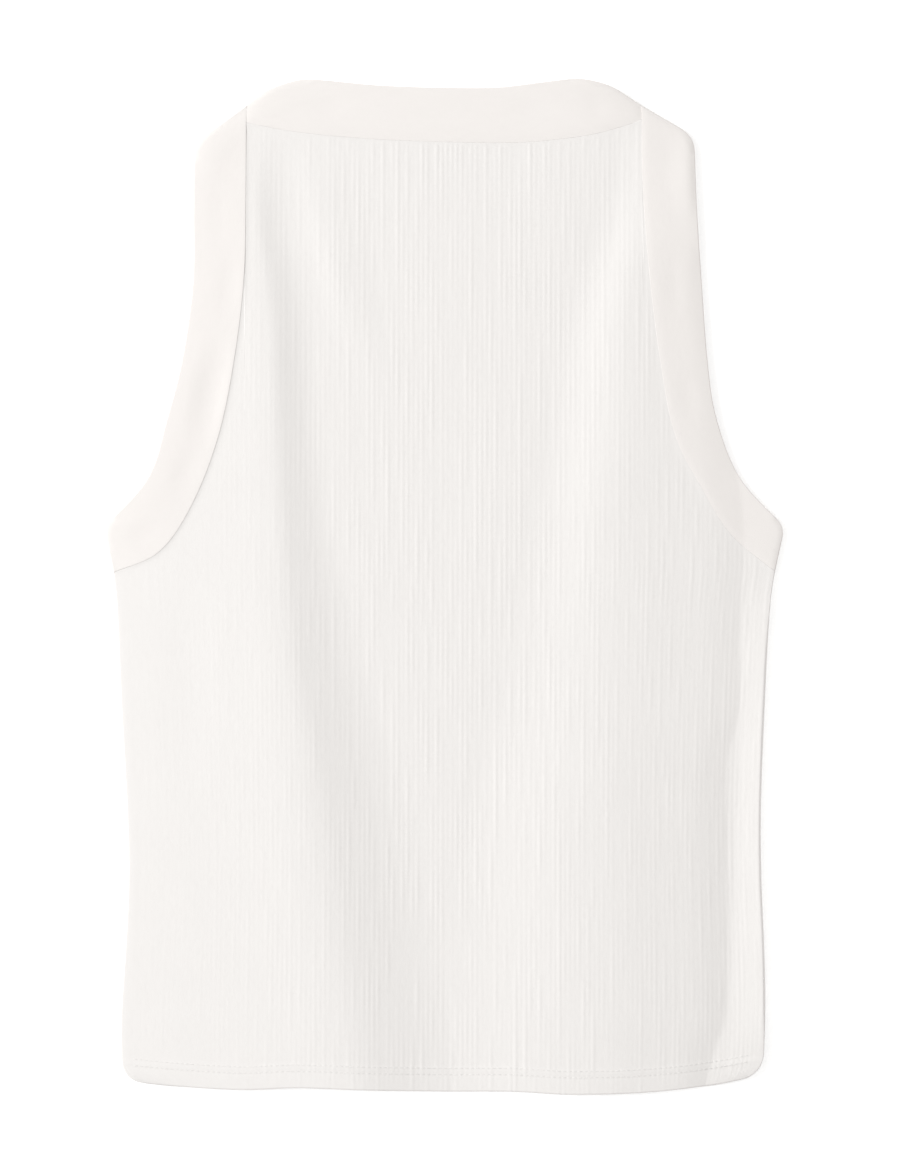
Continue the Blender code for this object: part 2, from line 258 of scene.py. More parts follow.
RIGHT_FOLD = Fold(
    (
        Crest(266, 112, 0, 20, 24),
        Crest(240, 112, 0.9, 20, 36),
        Crest(213, 113, 1.5, 24, 38),
        Crest(202, 113, 1.7, 26, 38),
        Crest(186, 109.5, 2.1, 29, 36),
        Crest(169, 105.5, 2.4, 32, 38),
        Crest(136, 102.5, 2.8, 39, 46),
        Crest(103, 101.5, 3, 46, 53),
        Crest(70, 98, 3, 46, 61),
        Crest(37, 95, 2.9, 50, 69),
        Crest(-29, 97, 2.9, 66, 66),
        Crest(-64, 95, 2.9, 72, 68.5),
        Crest(-95, 91, 3.4, 80, 64.5),
        Crest(-128, 90, 3.7, 92, 65.5),
        Crest(-161, 90, 3.8, 97, 65.5),
        Crest(-232, 90, 3.8, 100, 65),
        Crest(-254, 89, 3.5, 99, 60),
        Crest(-290, 87, 3.3, 100, 53),
    ),
    left=SOFT_FLANK,
    right=(Slope(0, 0), Slope(0.28, 0.5), Slope(0.66, 0.5), Slope(0.86, 1.4), Slope(1, 1.5)),
)
SIDE_ROLL = Fold(
    (
        Crest(12, 181.2, 0, 17, 0.9),
        Crest(-30, 177, 1.3, 16, 0.9),
        Crest(-64, 175.3, 1.6, 14.5, 0.9),
        Crest(-95, 173.9, 1.9, 14, 0.9),
        Crest(-128, 173.1, 2, 14, 0.9),
        Crest(-160, 173.4, 2.1, 15, 0.9),
        Crest(-200, 175, 2.2, 17.5, 0.9),
        Crest(-238, 175.6, 1.9, 20, 0.9),
        Crest(-256, 175.4, 1.4, 28, 0.9),
        Crest(-270, 174.8, 1, 34, 0.9),
        Crest(-290, 174.4, 0.7, 36, 0.9),
    ),
    left=(Slope(0, 0.6), Slope(0.15, 1), Slope(0.6, 1), Slope(1, 0.4)),
    right=(Slope(0, 0), Slope(0.5, 1), Slope(1, 1)),
)
FOLDS = (LEFT_FOLD, RIGHT_FOLD, SIDE_ROLL)
SHOULDER_CREASE = Fold(
    (
        Crest(244, -78, 0, 12, 24),
        Crest(202, -67, 0.55, 14, 28),
        Crest(150, -52, 0.55, 15, 30),
        Crest(90, -22, 0, 16, 30),
    ),
    left=SOFT_FLANK,
    right=SOFT_FLANK,
)
NECK_SWELL = Fold(
    (
        Crest(300, 88, 0.8, 68, 42),
        Crest(250, 88, 0.8, 68, 42),
        Crest(205, 78, 0, 58, 38),
    ),
    left=SOFT_FLANK,
    right=SOFT_FLANK,
)

# Low swells and hollows between the folds of the front
FRONT_DENTS = (
    Dent(-20, 150, 0.25, 45, 90, -0.1),
    Dent(35, 40, -0.25, 40, 110, -0.1),
    Dent(-140, -60, 0.2, 22, 80, 0),
    Dent(20, -150, 0.3, 38, 90, 0.15),
    Dent(62, 205, -0.2, 26, 50, 0.3),
)

# Small puckers of the front bands
NECKBAND_DENTS = (
    Dent(-62, 264, 0.16, 16, 8, 0.1),
    Dent(-8, 259, 0.12, 26, 7, 0),
    Dent(48, 263, 0.15, 18, 7, -0.1),
    Dent(84, 264, 0.2, 9, 9, 0.3),
)
LEFT_ARMBAND_DENTS = (
    Dent(-124, 205, 0.12, 8, 26, 0),
    Dent(-119, 165, 0.2, 9, 24, -0.1),
    Dent(-129, 106, 0.6, 13, 40, -0.2),
    Dent(-142, 64, 0.25, 10, 18, -0.4),
    Dent(-166, 29, 0.25, 13, 9, 0.2),
)
RIGHT_ARMBAND_DENTS = (
    Dent(137, 226, -0.75, 17, 34, 0),
    Dent(126, 165, 0.16, 7, 24, 0),
    Dent(134, 104, 0.16, 8, 18, 0.2),
    Dent(152, 58, 0.05, 9, 14, 0.4),
)

# What tells the two armbands apart as the garment lies
ARMBAND_FORMS = {
    Side.LEFT: {
        "rolls": (
            Roll(0.0, 0.6, 18.0),
            Roll(0.05, 0.3, 12.0),
            Roll(0.09, 0.04, 6.0),
            Roll(1.0, 0.08, 6.0),
        ),
        "drops": (Drop(0.05, 1.2), Drop(0.45, 24.0)),
        "seam_lift": 0.2,
        "flat_area": 0.0076,
        "dents": LEFT_ARMBAND_DENTS,
    },
    Side.RIGHT: {
        "rolls": (
            Roll(0.0, 0.15, 8.0),
            Roll(0.3, 0.12, 8.0),
            Roll(0.6, 0.06, 8.0),
            Roll(1.0, 0.06, 8.0),
        ),
        "drops": (Drop(0.14, 2.6), Drop(0.02, 9.0)),
        "seam_lift": 0.0,
        "flat_area": 0.0068,
        "dents": RIGHT_ARMBAND_DENTS,
    },
}


def smooth_places(places: Sequence[Sequence[float]]) -> np.ndarray:
    """Sample a smooth curve through a few places, ends included.

    Args:
        places: The places that the curve passes through, in order.

    Returns:
        The samples, one a row.
    """
    row = np.array(places, dtype=float)
    row = np.vstack([2 * row[0] - row[1], row, 2 * row[-1] - row[-2]])
    t = np.linspace(0.0, 1.0, CURVE_STEPS, endpoint=False)[:, None]
    pieces = []
    for first, start, end, last in zip(row, row[1:], row[2:], row[3:]):
        spread = start * 2 + (end - first) * t
        bend = (first * 2 - start * 5 + end * 4 - last) * t**2
        turn = (start * 3 - first - end * 3 + last) * t**3
        pieces.append((spread + bend + turn) / 2)
    return np.vstack([*pieces, row[-2:-1]])


def ease(share: np.ndarray) -> np.ndarray:
    """A smooth step from 0 to 1 that is flat at both ends."""
    share = np.clip(share, 0.0, 1.0)
    return share * share * (3.0 - 2.0 * share)


def rounding(inward: np.ndarray, radius: float) -> np.ndarray:
    """A quarter round: 0 at a border, and 1 from a radius in."""
    away = 1.0 - np.clip(inward / radius, 0.0, 1.0)
    return np.sqrt(1.0 - away**2)


def corner_inset(away: np.ndarray, reach: float) -> np.ndarray:
    """How far a rounded corner draws one edge in, at a distance from the other edge.

    Args:
        away: The distance from the other edge.
        reach: How far the corner is rounded off along both edges.

    Returns:
        The inset, from the reach at the other edge to 0 beyond the corner.
    """
    return reach * (1.0 - np.sqrt(np.clip(away / reach, 0.0, 1.0))) ** 2


def clearance(points: np.ndarray, border: np.ndarray) -> np.ndarray:
    """Measure how far points are from a border.

    Args:
        points: The points, with across and up in the last axis.
        border: The border's places in order, one a row.

    Returns:
        The distance of each point.
    """
    dense = [border[:1]]
    for start, end in zip(border, border[1:]):
        steps = max(1, math.ceil(float(np.linalg.norm(end - start)) / BORDER_STEP))
        dense.append(start + (end - start) * (np.arange(1, steps + 1)[:, None] / steps))
    places = np.vstack(dense).tolist()
    tree = KDTree(len(places))
    for number, (across, up) in enumerate(places):
        tree.insert((across, up, 0.0), number)
    tree.balance()
    found = [tree.find((across, up, 0.0))[2] for across, up in points.reshape(-1, 2).tolist()]
    return np.array(found).reshape(points.shape[:-1])


def hollow(points: np.ndarray, dents: Sequence[Dent]) -> np.ndarray:
    """How deep a few soft dents are at each point.

    Args:
        points: The points, with across and up in the last axis.
        dents: The dents.

    Returns:
        The depth, which is below 0 on a swelling.
    """
    depth = np.zeros(points.shape[:-1])
    for dent in dents:
        across = points[..., 0] - dent.across
        up = points[..., 1] - dent.up
        cosine, sine = math.cos(dent.turn), math.sin(dent.turn)
        along = (across * cosine + up * sine) / dent.reach_across
        over = (up * cosine - across * sine) / dent.reach_up
        away = np.clip(np.sqrt(along**2 + over**2), 0.0, 1.0)
        depth += dent.depth * (0.5 + 0.5 * np.cos(np.pi * away))
    return depth


class Line:
    """A smooth line through a few places, which a straight piece may lead to and from."""

    def __init__(
        self,
        places: Sequence[Sequence[float]],
        start: Sequence[Sequence[float]] = (),
        end: Sequence[Sequence[float]] = (),
    ) -> None:
        """Sample the line.

        Args:
            places: The places that it passes through, in order.
            start: The place that a straight piece runs from, if any.
            end: The place that a straight piece runs to, if any.
        """
        parts = (start, smooth_places(places), end)
        self.points = np.vstack([np.reshape(part, (-1, 2)) for part in parts])
        steps = np.linalg.norm(np.diff(self.points, axis=0), axis=1)
        self.length = float(steps.sum())
        self.shares = np.concatenate([[0.0], np.cumsum(steps)]) / self.length

    def at(self, share: np.ndarray) -> np.ndarray:
        """The places at shares of the line's length."""
        places = [np.interp(share, self.shares, values) for values in self.points.T]
        return np.stack(places, axis=-1)

    def up_at(self, across: np.ndarray) -> np.ndarray:
        """How far up the line is at places across it, for a line from the left to the right."""
        return np.interp(across, np.maximum.accumulate(self.points[:, 0]), self.points[:, 1])

    def out_at(self, up: np.ndarray) -> np.ndarray:
        """How far out from the middle the line is at heights, for a line from the top down."""
        return np.interp(up, self.points[::-1, 1], np.abs(self.points[::-1, 0]))


def flank_height(slopes: Sequence[Slope], away: np.ndarray) -> np.ndarray:
    """How much of a fold's height is left on a flank.

    Args:
        slopes: How the flank runs down.
        away: The share of the way from the crest to the flank's foot.

    Returns:
        The share of the height, 1 at the crest and 0 at the foot.
    """
    share = np.linspace(0.0, 1.0, FLANK_STEPS)
    steepness = np.interp(share, *np.transpose(slopes))
    fallen = np.concatenate([[0.0], np.cumsum(steepness[1:] + steepness[:-1])])
    return 1.0 - np.interp(away, share, fallen / fallen[-1])


def front_lift(points: np.ndarray) -> np.ndarray:
    """How far the folds raise the front at each point."""
    highest = np.maximum.reduce([fold.lift(points) for fold in FOLDS])
    return highest + SHOULDER_CREASE.lift(points) + NECK_SWELL.lift(points)


def cloth_shell(
    name: str, upper: np.ndarray, lower: np.ndarray, grain: np.ndarray
) -> bpy.types.Object:
    """Make a closed sheet of cloth out of a flat grid with a wall, shaped point by point.

    Args:
        name: The piece's name.
        upper: The outer face's points, by row and column, from the bottom left.
        lower: The inner face's points, in the same order.
        grain: The same points' places in the flat cloth.

    Returns:
        The new object.
    """
    rows, columns = upper.shape[:2]
    bpy.ops.object.select_all(action="DESELECT")
    bpy.ops.mesh.primitive_grid_add(x_subdivisions=columns - 1, y_subdivisions=rows - 1, size=1.0)
    piece = bpy.context.object
    piece.name = piece.data.name = name
    wall = piece.modifiers.new("wall", "SOLIDIFY")
    wall.thickness = GRID_WALL
    wall.offset = -1.0
    bpy.ops.object.modifier_apply(modifier=wall.name)

    mesh = piece.data
    flat = np.empty(len(mesh.vertices) * 3)
    mesh.vertices.foreach_get("co", flat)
    flat = flat.reshape(-1, 3)
    column = np.rint((flat[:, 0] + 0.5) * (columns - 1)).astype(int)
    row = np.rint((flat[:, 1] + 0.5) * (rows - 1)).astype(int)
    outer = flat[:, 2] > -GRID_WALL / 2
    shaped = np.where(outer[:, None], upper[row, column], lower[row, column]) * METRES
    mesh.vertices.foreach_set("co", shaped.ravel())

    corners = np.empty(len(mesh.loops), dtype=int)
    mesh.loops.foreach_get("vertex_index", corners)
    layer = mesh.uv_layers[0]
    layer.name = GRAIN_MAP
    layer.data.foreach_set("uv", (grain[row, column][corners] * METRES).ravel())
    mesh.update()
    bpy.ops.object.shade_smooth()
    return piece


class Wire:
    """A shader value. Sums on it add Math nodes to its shader."""

    def __init__(self, shader: "Shader", socket: bpy.types.NodeSocket) -> None:
        """Wrap a socket of a shader's node."""
        self.shader = shader
        self.socket = socket

    def __add__(self, other: "Wire | float") -> "Wire":
        """This value plus another."""
        return self.shader.math("ADD", self, other)

    __radd__ = __add__

    def __mul__(self, other: "Wire | float") -> "Wire":
        """This value times another."""
        return self.shader.math("MULTIPLY", self, other)

    __rmul__ = __mul__

    def __sub__(self, other: "Wire | float") -> "Wire":
        """This value less another."""
        return self.shader.math("SUBTRACT", self, other)

    def __rsub__(self, other: float) -> "Wire":
        """A number less this value."""
        return self.shader.math("SUBTRACT", other, self)

    def __abs__(self) -> "Wire":
        """This value without its sign."""
        return self.shader.math("ABSOLUTE", self)

    def fraction(self) -> "Wire":
        """What is left of this value past its whole part."""
        return self.shader.math("FRACT", self)

    def wave(self) -> "Wire":
        """A wave from 0 to 1 that has this value as its phase, and is highest at whole numbers."""
        return 0.5 + 0.5 * self.shader.math("COSINE", self * math.tau)


class Shader:
    """A material and the nodes that it is made of."""

    # The places of a Mix node's colour sockets
    MIX_SHARE, MIX_FIRST, MIX_SECOND, MIX_RESULT = 0, 6, 7, 2

    def __init__(self, name: str) -> None:
        """Make a material with a plain surface shader.

        Args:
            name: The material's name.
        """
        self.material = bpy.data.materials.new(name)
        self.material.use_nodes = True
        self.tree = self.material.node_tree
        self.surface = self.tree.nodes["Principled BSDF"]

    def node(
        self,
        kind: str,
        settings: dict[str, object] | None = None,
        sockets: dict[str | int, "Wire | object"] | None = None,
    ) -> bpy.types.Node:
        """Add a node.

        Args:
            kind: The node's type.
            settings: Its own settings, which are set first.
            sockets: The values or wires of its inputs, by name or place.

        Returns:
            The new node.
        """
        made = self.tree.nodes.new(kind)
        for key, value in (settings or {}).items():
            setattr(made, key, value)
        for key, value in (sockets or {}).items():
            self.plug(made.inputs[key], value)
        return made

    def plug(self, socket: bpy.types.NodeSocket, value: "Wire | object") -> None:
        """Link a wire to an input, or set the input's own value.

        Args:
            socket: The input.
            value: The wire or the value.
        """
        if isinstance(value, Wire):
            self.tree.links.new(value.socket, socket)
        else:
            socket.default_value = value

    def wire(self, made: bpy.types.Node, output: str | int = 0) -> Wire:
        """One output of a node."""
        return Wire(self, made.outputs[output])

    def math(self, operation: str, *values: "Wire | float") -> Wire:
        """Add a Math node.

        Args:
            operation: The node's operation.
            *values: Its values.

        Returns:
            The node's result.
        """
        made = self.node("ShaderNodeMath", {"operation": operation}, dict(enumerate(values)))
        return self.wire(made)

    def mix(self, share: "Wire | float", first: object, second: object, blend: str = "MIX") -> Wire:
        """Mix two colours.

        Args:
            share: How much of the second there is.
            first: The first colour.
            second: The second colour.
            blend: The way that they are mixed.

        Returns:
            The mixed colour.
        """
        made = self.node(
            "ShaderNodeMix",
            {"data_type": "RGBA", "blend_type": blend},
            {self.MIX_SHARE: share, self.MIX_FIRST: first, self.MIX_SECOND: second},
        )
        return self.wire(made, self.MIX_RESULT)


@dataclass(frozen=True)
class KnitFinish:
    """A fine knit: rows of looped stitches on the cloth's own grain, with a soft bloom, and painted
    shade in the gaps between the stitches.
    """

    name: str
    colour: tuple[float, float, float]
    # painted shade: the darker colour that the gaps between the stitches are given
    painted_gap_shade: tuple[float, float, float]
    wale: float                 # the width of a column of stitches
    course: float               # the height of a stitch
    slant: float = 0.75         # how far a stitch's legs rise, in courses
    relief: float = 0.05        # the height of the stitches
    wander: float = 0.9         # how far the stitches stray from straight rows
    wander_scale: float = 260.0
    wander_along: float = 1.6   # how much farther they stray along the grain than across it
    fibre_scale: float = 1400.0
    fibre_share: float = 0.2    # how much of the colour is the fibres'
    fibre_relief: float = 0.5   # as a share of the stitches' relief
    rib_pitch: float = 0.0      # the pitch of ribs that the mesh doesn't have
    rib_relief: float = 0.0
    roughness: float = 0.92
    specular: float = 0.2
    sheen: float = 0.06
    sheen_roughness: float = 0.6
    mottle: float = 0.02
    mottle_scale: float = 45.0

    def material(self) -> bpy.types.Material:
        """Make the finish.

        Returns:
            The new material.
        """
        shader = Shader(self.name)
        grain = shader.node("ShaderNodeUVMap", {"uv_map": GRAIN_MAP})
        parts = shader.node("ShaderNodeSeparateXYZ", sockets={0: shader.wire(grain)})
        stray = (self.noise(shader, grain, self.wander_scale, 2.0) - 0.5) * (self.wander * METRES)
        across = shader.wire(parts, 0) + stray
        up = shader.wire(parts, 1) + stray * self.wander_along
        stitches = self.stitches(across, up)
        patches = self.noise(shader, grain, self.mottle_scale, 3.0)
        fibres = self.noise(shader, grain, self.fibre_scale, 4.0)

        # painted shade: the stitch mask darkens the colour towards the gap shade between the stitches
        yarn = stitches * (1.0 - self.fibre_share) + fibres * self.fibre_share
        body = shader.mix(yarn, (*self.painted_gap_shade, 1.0), (*self.colour, 1.0))
        tone = 1.0 - self.mottle * patches
        grey = shader.node("ShaderNodeCombineColor", sockets={0: tone, 1: tone, 2: tone})
        colour = shader.mix(1.0, body, shader.wire(grey), "MULTIPLY")
        shader.plug(shader.surface.inputs["Base Color"], colour)

        height = stitches * self.relief + fibres * (self.relief * self.fibre_relief)
        if self.rib_relief:
            height = height + (across * (1.0 / (self.rib_pitch * METRES))).wave() * self.rib_relief
        bump = shader.node(
            "ShaderNodeBump", sockets={"Strength": 1.0, "Distance": METRES, "Height": height}
        )
        shader.plug(shader.surface.inputs["Normal"], shader.wire(bump))
        shader.plug(shader.surface.inputs["Roughness"], self.roughness)
        shader.plug(shader.surface.inputs["Sheen Weight"], self.sheen)
        shader.plug(shader.surface.inputs["Sheen Roughness"], self.sheen_roughness)
        shader.plug(shader.surface.inputs["Specular IOR Level"], self.specular)
        return shader.material

    def stitches(self, across: Wire, up: Wire) -> Wire:
        """The looped stitches, from 0 in the gaps to 1 on the yarn.

        Args:
            across: The place across the grain, in metres.
            up: The place along the grain, in metres.

        Returns:
            The height of the stitches.
        """
        column = across * (1.0 / (self.wale * METRES))
        row = up * (1.0 / (self.course * METRES))
        from_middle = abs(column.fraction() - 0.5) * 2.0
        legs = 1.0 - (column * 2.0).wave()
        yarn = (row - from_middle * self.slant).wave()
        return legs * (yarn * 0.5 + 0.5)

    @staticmethod
    def noise(shader: Shader, grain: bpy.types.Node, scale: float, detail: float) -> Wire:
        """Add a soft irregular pattern on the grain.

        Args:
            shader: The shader that it is for.
            grain: The node that gives places on the grain.
            scale: How fine it is.
            detail: How many finer layers it has.

        Returns:
            The pattern, about 0.5 on average.
        """
        made = shader.node(
            "ShaderNodeTexNoise",
            {"noise_dimensions": "2D"},
            {"Vector": shader.wire(grain), "Scale": scale, "Detail": detail},
        )
        return shader.wire(made, "Fac")


@dataclass(frozen=True)
class ThreadFinish:
    """Sewing thread with a slight shine, and painted shade between its plies."""

    name: str = "sewing_thread"
    colour: tuple[float, float, float] = (0.84, 0.825, 0.81)
    roughness: float = 0.6
    twist: float = 900.0            # how many times the plies cross in a metre
    ply_shade_tone: float = 0.93       # painted shade: how much darker the colour is between the plies
    groove_depth: float = 0.05
    groove_strength: float = 0.6

    def material(self) -> bpy.types.Material:
        """Make the finish.

        Returns:
            The new material.
        """
        shader = Shader(self.name)
        place = shader.node("ShaderNodeTexCoord")
        parts = shader.node("ShaderNodeSeparateXYZ", sockets={0: shader.wire(place, "Object")})
        ply = ((shader.wire(parts, 0) + shader.wire(parts, 1)) * (self.twist * 2.0)).wave()
        # painted shade: the colour darkens in the grooves between the plies
        ply_shade = tuple(channel * self.ply_shade_tone for channel in self.colour)
        colour = shader.mix(ply, (*ply_shade, 1.0), (*self.colour, 1.0))
        shader.plug(shader.surface.inputs["Base Color"], colour)
        depth = self.groove_depth * METRES
        bump = shader.node(
            "ShaderNodeBump",
            sockets={"Strength": self.groove_strength, "Distance": depth, "Height": ply},
        )
        shader.plug(shader.surface.inputs["Normal"], shader.wire(bump))
        shader.plug(shader.surface.inputs["Roughness"], self.roughness)
        return shader.material


@dataclass(frozen=True)
class PanelCut:
    """The shape that both panels are cut to, read along the ribs from the hem to the seams."""

    left_half: float = 182.5
    right_half: float = 181.9
    hem_round: float = 13.0
    corner_ease: float = 36.0       # the outer ribs make room for a rounded corner within this
    steep_heights: tuple[float, ...] = (255.0, 235.0, 215.0, 195.0, 180.0)
    least_space: float = 0.12       # of columns nearer than this, the one that runs highest stays
    level_share: float = 0.7        # this share of the rows runs level where the seam is steep
    flat_size: tuple[float, float] = (0.3644, 0.543)
    flat_area: float = 0.161

    def ribs(self, count: int, extra: Sequence[float] = ()) -> np.ndarray:
        """The grain lines of a grid's columns.

        Args:
            count: How many spaces there are between even columns.
            extra: More columns at these distances from both sides.

        Returns:
            The columns' places across the flat cloth, from the left.
        """
        even = np.linspace(-self.left_half, self.right_half, count + 1)
        left = [-self.left_half + reach for reach in extra]
        right = [self.right_half - reach for reach in extra]
        heights = np.array(self.steep_heights)
        seams = {side: Line([pair.place(side) for pair in ARMHOLE_SEAM]) for side in Side}
        steep = [side.value * seam.out_at(heights) for side, seam in seams.items()]
        columns = np.sort(np.concatenate([even, left, right, *steep]))
        after = np.diff(columns, append=np.inf) > self.least_space
        before = np.diff(columns, prepend=-np.inf) > self.least_space
        return columns[np.where(columns < 0.0, after, before)]

    def spread(self, column: np.ndarray, up: np.ndarray) -> np.ndarray:
        """Where the grain lines run across the cloth as it lies.

        Args:
            column: The grain lines' places across the flat cloth.
            up: The heights to read them at.

        Returns:
            How far across they are at these heights.
        """
        left = Line([pair.place(Side.LEFT) for pair in SIDE_EDGE]).out_at(up)
        right = Line([pair.place(Side.RIGHT) for pair in SIDE_EDGE]).out_at(up)
        half = np.where(column < 0.0, self.left_half, self.right_half)
        wide = np.where(column < 0.0, left, right)
        return column * (1.0 + (wide / half - 1.0) * (column / half) ** 2)

    def grid(
        self,
        column: np.ndarray,
        hem_rows: Sequence[float],
        between: int,
        seam_rows: Sequence[float],
    ) -> np.ndarray:
        """Lay a grid over the cut.

        Args:
            column: The grain lines, from the left.
            hem_rows: How far the lowest rows are above the hem.
            between: How many spaces there are from the last of these to the first seam row.
            seam_rows: How far the top rows are below the seams.

        Returns:
            The grid's points, by row and column, from the bottom left.
        """
        floor, ceiling = self.hem_up(column), self.seam_up(column)
        last, first = floor + hem_rows[-1], ceiling - seam_rows[0]
        low = np.minimum(first, self.steep_heights[-1] - seam_rows[0]) - last
        rows = [floor + away for away in hem_rows]
        for share in np.linspace(0.0, 1.0, between + 1)[1:-1]:
            over = max(0.0, (share - self.level_share) / (1.0 - self.level_share))
            rows.append(last + low * share + (first - last - low) * over)
        rows += [ceiling - away for away in seam_rows]
        up = np.array(rows)

        column = np.broadcast_to(column, up.shape)
        across = self.spread(column, up)
        outermost = np.where(column < 0.0, -self.left_half, self.right_half)
        from_side = np.abs(self.spread(outermost, up)) - np.abs(across)
        inset = corner_inset(up - floor, self.hem_round)
        inset = inset * np.clip(1.0 - from_side / self.corner_ease, 0.0, 1.0)
        across = across - np.sign(column) * inset
        return np.stack([across, up - inset * self.hem_slant(column)], axis=-1)

    def seam_up(self, column: np.ndarray) -> np.ndarray:
        """How far up the grain lines meet the armhole seams and the neck seam.

        Args:
            column: The grain lines' places across the flat cloth.

        Returns:
            The height at the upper end of each.
        """
        left = Line([pair.place(Side.LEFT) for pair in ARMHOLE_SEAM[::-1]]).points
        neck = Line(NECK_SEAM).points
        right = Line([pair.place(Side.RIGHT) for pair in ARMHOLE_SEAM]).points
        seam = np.vstack([left, neck[1:], right[1:]])
        return np.interp(column, np.maximum.accumulate(seam[:, 0]), seam[:, 1])

    def hem_up(self, column: np.ndarray) -> np.ndarray:
        """How far up the grain lines start at the hem."""
        lowest = np.full_like(column, HEM_EDGE[0][1])
        return Line(HEM_EDGE).up_at(self.spread(column, lowest))

    def hem_slant(self, column: np.ndarray) -> np.ndarray:
        """How steeply the hem runs on to the corner on each grain line's own side.

        Args:
            column: The grain lines' places across the flat cloth.

        Returns:
            The rise for each millimetre outwards.
        """
        hem = Line(HEM_EDGE)
        corner = np.array([HEM_EDGE[0][0], HEM_EDGE[-1][0]])
        within = corner - np.sign(corner) * self.hem_round
        left, right = (hem.up_at(corner) - hem.up_at(within)) / self.hem_round
        return np.where(column < 0.0, left, right)


class Panel:
    """What the two panels share: rib knit that stands for a node of the frame."""

    node: str
    finish: bpy.types.Material
    piece: bpy.types.Object

    def dress(self) -> None:
        """Give the panel its finish and tell the frame what it is."""
        self.piece.data.materials.append(self.finish)
        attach(self.piece, BODY)
        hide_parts(self.node)


@dataclass
class FrontPanel(Panel):
    """The ribbed front, which lies on the back in soft folds."""

    cut: PanelCut
    finish: bpy.types.Material
    node: str = "front_panel"
    rest: float = 1.6               # its inside, over the back
    wall: float = 1.3               # at the bottom of a rib's groove
    rib_count: int = 135
    rib_columns: int = 4
    rib_relief: float = 0.13
    rib_groove: float = 1.6         # how narrow the grooves are beside the ribs
    rib_fade: float = 3.0           # the ribs run out this near to a seam
    rib_least: float = 0.14         # the share of their relief that they have at the left
    rib_across: tuple[Step, Step] = (Step(-150.0, 130.0, 0.86), Step(50.0, 60.0, -0.28))
    rib_up: Step = Step(40.0, 140.0, 0.15)
    rib_hem: Step = Step(4.0, 12.0, 0.25)
    rib_stations: int = 30          # places along a rib that are drawn out each by their own amount
    rib_spread: float = 1.6         # how much fuller some places are than most
    rib_seed: int = 11
    side_columns: tuple[float, ...] = (0.25,)
    hem_rows: tuple[float, ...] = (
        0.0, 0.4, 1.1, 2.2, 3.6, 5.5, 7.4, 8.7, 9.5, 10.3, 11.3, 12.2, 13.0, 13.8, 14.6, 16.0, 19.0,
    )
    seam_rows: tuple[float, ...] = (8.5, 5.5, 3.6, 2.2, 1.2, 0.5, 0.0)
    between: int = 58
    dent_onset: float = 10.0        # how far from the seams the dents come about
    hem_swell: float = 0.24         # the turned-up hem is two layers thick
    hem_depth: float = 14.6
    hem_step: float = 1.8           # how far its end is felt
    hem_wall: float = 0.7           # at its edge
    stitch_rows: tuple[float, float] = (9.5, 13.0)
    stitch_sink: float = 0.11
    stitch_reach: float = 1.6
    seam_swell: float = 0.1         # over the seam allowance inside
    swell_reach: float = 3.0
    left_swell: float = 0.32        # at the left armhole, where the allowance holds it higher
    left_reach: float = 2.6
    left_onset: float = 14.0        # how far from the armhole's ends that comes about
    side_level: float = 1.95
    side_tuck: float = 0.24         # the inside comes down to the back at the side seams
    tuck_reach: float = 1.6
    side_drop: tuple[float, float] = (0.15, 0.1)     # how far the left and right sides roll down
    side_reach: tuple[float, float] = (5.0, 2.0)
    least_wall: float = 0.4
    edge_round: float = 0.35
    piece: bpy.types.Object = field(init=False)
    column: np.ndarray = field(init=False)
    upper: np.ndarray = field(init=False)

    def build(self) -> bpy.types.Object:
        """Make the panel's shell.

        Returns:
            The new piece.
        """
        self.column = self.cut.ribs(self.rib_count * self.rib_columns, self.side_columns)
        places = self.cut.grid(self.column, self.hem_rows, self.between, self.seam_rows)
        to_seam = clearance(places, places[-1])
        to_side = np.minimum(clearance(places, places[:, 0]), clearance(places, places[:, -1]))
        to_hem = places[..., 1] - places[0, :, 1]
        dents = hollow(places, FRONT_DENTS) * ease(to_seam / self.dent_onset)
        lift = np.maximum(front_lift(places) - dents, 0.0)

        outer = self.rest + self.wall + lift + self.ribs(places, to_seam, to_hem)
        outer = outer + self.hem_swell * ease((self.hem_depth - to_hem) / self.hem_step)
        for row in self.stitch_rows:
            away = np.abs(to_hem - row) / self.stitch_reach
            outer = outer - self.stitch_sink * ease(1.0 - away)
        outer = outer - self.side_fall(places, to_side) + self.swell(places, to_seam)
        inner = self.rest + lift - self.side_tuck * (1.0 - rounding(to_side, self.tuck_reach))
        self.upper = np.dstack([places, self.border(outer, inner, to_side, to_hem)])
        lower = np.dstack([places, inner])
        grain = np.dstack([np.broadcast_to(self.column, places.shape[:2]), places[..., 1]])
        self.piece = cloth_shell(f"{self.node}_cloth", self.upper, lower, grain)
        return self.piece

    def ribs(self, places: np.ndarray, to_seam: np.ndarray, to_hem: np.ndarray) -> np.ndarray:
        """The height of the ribs, broad on top with narrow grooves.

        Args:
            places: The grid's points.
            to_seam: How far each is from the seams.
            to_hem: How far each is from the hem.

        Returns:
            The height at each point.
        """
        share = (self.column - self.column[0]) * self.rib_count / (self.column[-1] - self.column[0])
        wave = 0.5 + 0.5 * np.cos(2 * np.pi * share)
        profile = 1.0 - (1.0 - wave) ** self.rib_groove
        across, up = places[..., 0], places[..., 1]
        drawn_out = self.rib_least + sum(step.at(across) for step in self.rib_across)
        drawn_out = drawn_out * (1.0 + self.rib_up.at(up))
        at_hem = 1.0 - self.rib_hem.change + self.rib_hem.at(to_hem)
        fade = ease(to_seam / self.rib_fade) * at_hem
        return self.rib_relief * profile * drawn_out * fade * self.rib_pull(share, up)

